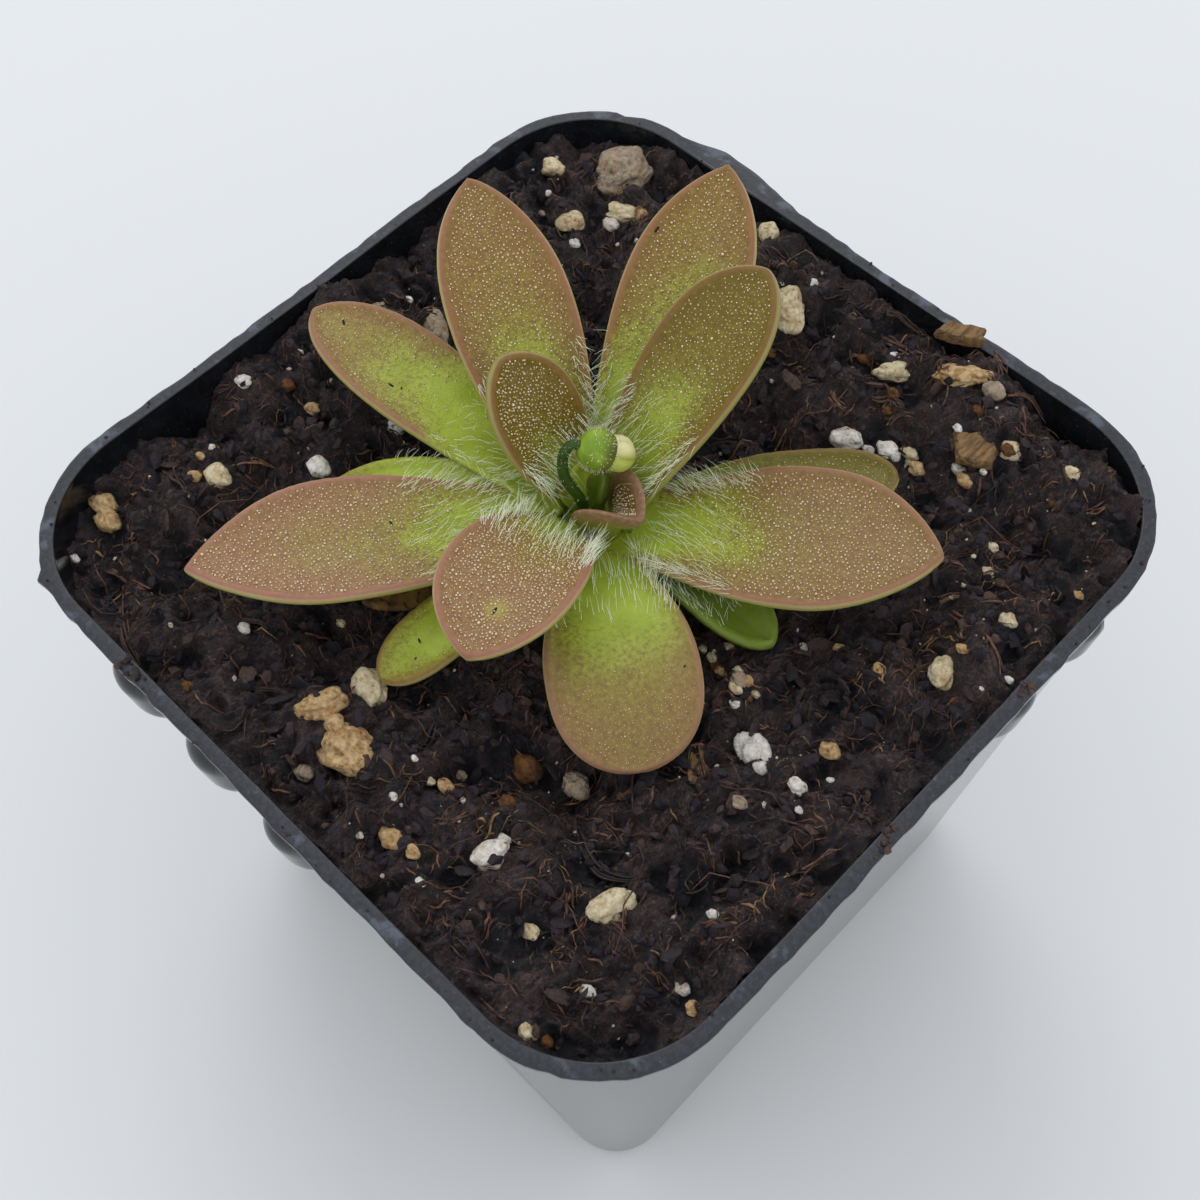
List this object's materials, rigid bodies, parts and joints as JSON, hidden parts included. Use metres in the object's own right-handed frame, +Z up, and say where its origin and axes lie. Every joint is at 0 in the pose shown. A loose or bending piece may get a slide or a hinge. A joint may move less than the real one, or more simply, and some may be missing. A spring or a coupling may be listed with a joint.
{
  "type": "potted butterwort",
  "caption": "Rosette of fleshy butterwort leaves with a nodding flower bud, planted in peat mix in a square plastic nursery pot.",
  "frame": {"origin": "centre of the pot's foot, on the surface it stands on", "axes": "+Z up through the pot's mouth; the pot's sides face +X, -X, +Y and -Y; the picture looks down from about 47 degrees round from -Y towards +X"},
  "size_m": [0.089, 0.089, 0.1038],
  "materials": {
    "pot_plastic": "satin black thermoformed sheet",
    "soil": "rough dark peat mix",
    "pumice": "rough cream and tan pumice",
    "bark": "rough bark and wood chips",
    "leaf": "satin olive and pink blade with green base",
    "young_leaf": "satin fresh green",
    "withered": "dry brown",
    "crown": "pale green crown and cream roots",
    "stalk": "dark green, satin",
    "petal": "soft cream"
  },
  "bodies": {
    "root": {"bark_chip_1": "bark", "bark_chip_2": "bark", "bark_chip_3": "bark", "bud_calyx": "young_leaf", "bud_petals": "petal", "crown_and_roots": "crown", "flower_stalk": "stalk", "leaf_01": "leaf", "leaf_02": "leaf", "leaf_03": "leaf", "leaf_04": "leaf", "leaf_05": "leaf", "leaf_06": "leaf", "leaf_07": "leaf", "leaf_08": "leaf", "leaf_09": "leaf", "leaf_10": "leaf", "leaf_11": "leaf", "leaf_12": "leaf", "leaf_13": "leaf", "pot": "pot_plastic", "soil": "soil", "stone_01": "pumice", "stone_02": "pumice", "stone_03": "pumice", "stone_04": "pumice", "stone_05": "pumice", "stone_06": "pumice", "stone_07": "pumice", "stone_08": "pumice", "stone_09": "pumice", "stone_10": "pumice", "stone_11": "pumice", "stone_12": "pumice", "stone_13": "pumice", "stone_14": "pumice", "stone_15": "pumice", "stone_16": "pumice", "stone_17": "pumice", "withered_leaf": "withered", "young_leaf_1": "young_leaf", "young_leaf_2": "young_leaf", "young_leaf_3": "young_leaf", "young_leaf_4": "young_leaf"}
  },
  "joints": []
}
